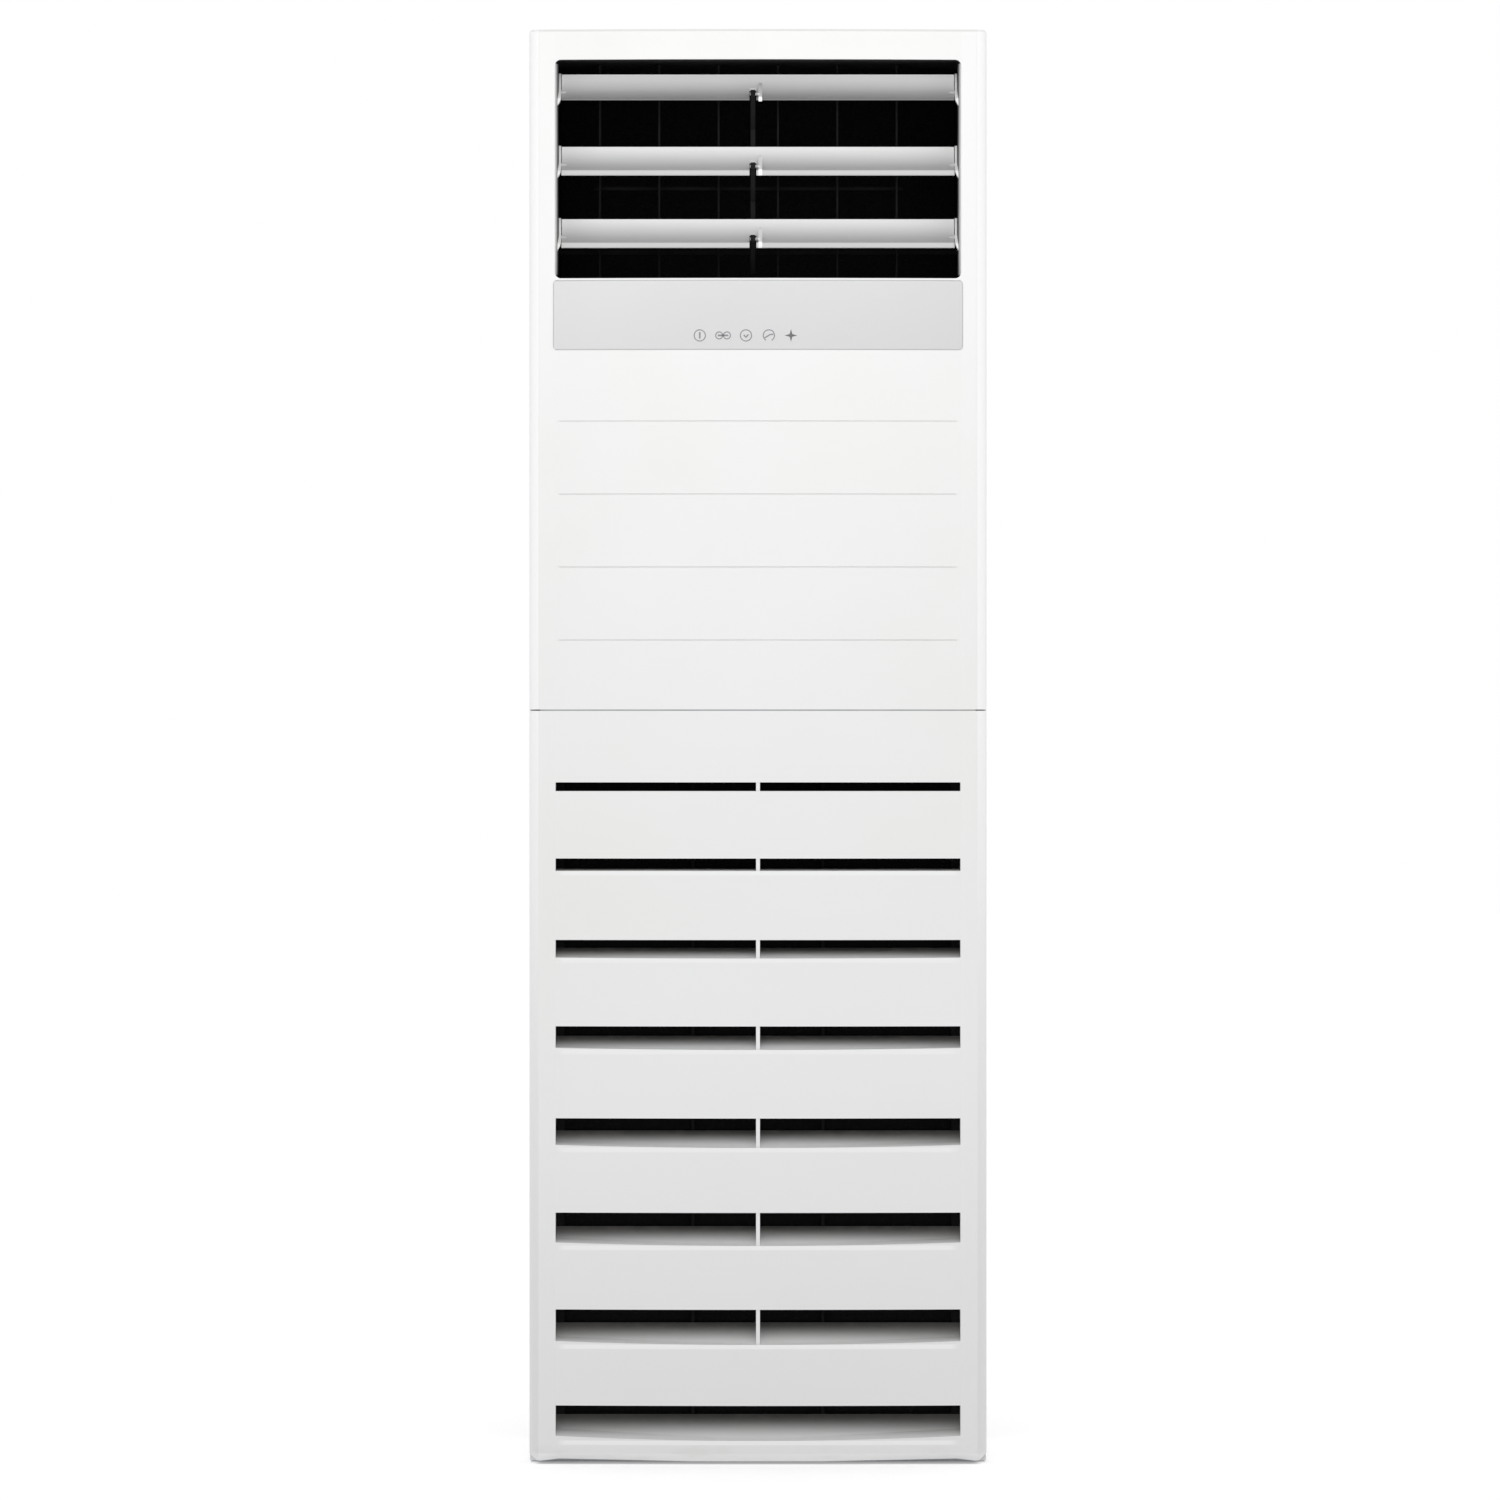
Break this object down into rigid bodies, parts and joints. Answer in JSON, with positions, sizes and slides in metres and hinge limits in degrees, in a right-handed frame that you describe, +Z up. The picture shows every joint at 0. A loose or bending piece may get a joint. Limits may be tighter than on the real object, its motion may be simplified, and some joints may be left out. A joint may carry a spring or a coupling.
{
  "type": "floor standing air conditioner",
  "caption": "Tall floor standing air conditioner cabinet with swinging louvres and vanes in a top outlet, a touch strip, and a slotted lower grille that tips open on a filter and blower.",
  "frame": {"origin": "on the floor, under the middle of the cabinet's width and depth", "axes": "+Z up, +X to the right as seen from the front, front faces -Y"},
  "size_m": [0.59, 0.44, 1.85],
  "materials": {
    "moulding_white": "satin moulded ABS",
    "steel_white": "satin powder coat",
    "galvanised": "galvanised sheet",
    "fascia_silver": "silver grey printed film",
    "duct_black": "matte black moulding",
    "louvre_white": "satin white moulding",
    "foam_black": "closed cell foam",
    "fin_aluminium": "bright fin stock",
    "copper": "drawn copper tube",
    "nut_brass": "machined brass",
    "pan_grey": "moulded pan",
    "hose_grey": "flexible PVC",
    "wheel_metal": "galvanised wheel",
    "motor_paint": "baked enamel",
    "shaft_steel": "ground steel",
    "filter_grey": "moulded frame",
    "mesh_grey": "woven net",
    "board_green": "solder mask",
    "terminal_cream": "phenolic block",
    "catch_black": "moulded catch",
    "stepper_can": "plated can"
  },
  "bodies": {
    "cabinet": {"base_pan": "galvanised", "left_side_panel": "steel_white", "right_side_panel": "steel_white", "rear_panel": "galvanised", "top_cover": "steel_white", "cross_rail": "galvanised", "hinge_brackets": "galvanised", "grille_catches": "catch_black", "upper_front_panel": "moulding_white", "control_fascia": "fascia_silver", "display_board": "board_green", "outlet_duct": "duct_black", "louvre_bearings": "louvre_white", "louvre_motor": "stepper_can", "vane_motor": "stepper_can", "plenum_liner": "foam_black", "coil_cover": "galvanised", "evaporator_fins": "fin_aluminium", "coil_end_plates": "galvanised", "coil_baffle": "galvanised", "return_bends": "copper", "suction_line": "copper", "liquid_pipe": "copper", "gas_flare_nut": "nut_brass", "liquid_flare_nut": "nut_brass", "drain_pan": "pan_grey", "drain_hose": "hose_grey", "fan_deck": "galvanised", "scroll_front": "pan_grey", "scroll_wrapper": "galvanised", "scroll_back": "galvanised", "motor_plate": "galvanised", "fan_motor": "motor_paint", "control_box": "galvanised", "control_box_cover": "galvanised", "terminal_block": "terminal_cream"},
    "intake_grille": {"intake_grille": "moulding_white", "filter_frame": "filter_grey", "filter_mesh": "mesh_grey"},
    "louvre_1": {"louvre_1": "louvre_white"},
    "louvre_2": {"louvre_2": "louvre_white", "louvre_motor_shaft": "shaft_steel"},
    "louvre_3": {"louvre_3": "louvre_white"},
    "louvre_link": {"louvre_link": "duct_black"},
    "vane_link": {"vane_link": "duct_black"},
    "blower": {"blower_wheel": "wheel_metal", "wheel_blades": "wheel_metal", "wheel_ring": "wheel_metal", "motor_shaft": "shaft_steel"},
    "vane_1": {"vane_1": "duct_black"},
    "vane_2": {"vane_2": "duct_black"},
    "vane_3": {"vane_3": "duct_black"},
    "vane_4": {"vane_4": "duct_black"},
    "vane_5": {"vane_5": "duct_black"},
    "vane_6": {"vane_6": "duct_black", "vane_motor_shaft": "shaft_steel"}
  },
  "joints": [
    {"name": "grille_tilt", "type": "hinge", "parent": "cabinet", "child": "intake_grille", "pos_m": [0, -0.2, 0.016], "axis": [1, 0, 0], "range_deg": [0, 25]},
    {"name": "louvre_2_swing", "type": "hinge", "parent": "cabinet", "child": "louvre_2", "pos_m": [0, -0.172, 1.6764], "axis": [1, 0, 0], "range_deg": [-30, 20]},
    {"name": "louvre_1_swing", "type": "hinge", "parent": "cabinet", "child": "louvre_1", "pos_m": [0, -0.172, 1.77], "axis": [1, 0, 0], "range_deg": [-30, 20]},
    {"name": "louvre_3_swing", "type": "hinge", "parent": "cabinet", "child": "louvre_3", "pos_m": [0, -0.172, 1.5828], "axis": [1, 0, 0], "range_deg": [-30, 20]},
    {"name": "louvre_link_pivot", "type": "hinge", "parent": "louvre_2", "child": "louvre_link", "pos_m": [-0.0065, -0.19, 1.6744], "axis": [1, 0, 0], "range_deg": [-20, 30]},
    {"name": "vane_6_swing", "type": "hinge", "parent": "cabinet", "child": "vane_6", "pos_m": [0.18, -0.11, 1.67], "axis": [0, 0, 1], "range_deg": [-35, 35]},
    {"name": "vane_1_swing", "type": "hinge", "parent": "cabinet", "child": "vane_1", "pos_m": [-0.205, -0.11, 1.67], "axis": [0, 0, 1], "range_deg": [-35, 35]},
    {"name": "vane_2_swing", "type": "hinge", "parent": "cabinet", "child": "vane_2", "pos_m": [-0.128, -0.11, 1.67], "axis": [0, 0, 1], "range_deg": [-35, 35]},
    {"name": "vane_3_swing", "type": "hinge", "parent": "cabinet", "child": "vane_3", "pos_m": [-0.051, -0.11, 1.67], "axis": [0, 0, 1], "range_deg": [-35, 35]},
    {"name": "vane_4_swing", "type": "hinge", "parent": "cabinet", "child": "vane_4", "pos_m": [0.026, -0.11, 1.67], "axis": [0, 0, 1], "range_deg": [-35, 35]},
    {"name": "vane_5_swing", "type": "hinge", "parent": "cabinet", "child": "vane_5", "pos_m": [0.103, -0.11, 1.67], "axis": [0, 0, 1], "range_deg": [-35, 35]},
    {"name": "vane_link_pivot", "type": "hinge", "parent": "vane_6", "child": "vane_link", "pos_m": [0.18, -0.083, 1.652], "axis": [0, 0, 1], "range_deg": [-35, 35]},
    {"name": "blower_spin", "type": "hinge", "parent": "cabinet", "child": "blower", "pos_m": [-0.03, 0, 0.33], "axis": [0, 1, 0], "continuous": true}
  ],
  "couplings": [
    {"joint": "louvre_1_swing", "follows": "louvre_2_swing", "ratio": 1},
    {"joint": "louvre_3_swing", "follows": "louvre_2_swing", "ratio": 1},
    {"joint": "louvre_link_pivot", "follows": "louvre_2_swing", "ratio": -1},
    {"joint": "vane_1_swing", "follows": "vane_6_swing", "ratio": 1},
    {"joint": "vane_2_swing", "follows": "vane_6_swing", "ratio": 1},
    {"joint": "vane_3_swing", "follows": "vane_6_swing", "ratio": 1},
    {"joint": "vane_4_swing", "follows": "vane_6_swing", "ratio": 1},
    {"joint": "vane_5_swing", "follows": "vane_6_swing", "ratio": 1},
    {"joint": "vane_link_pivot", "follows": "vane_6_swing", "ratio": -1}
  ]
}
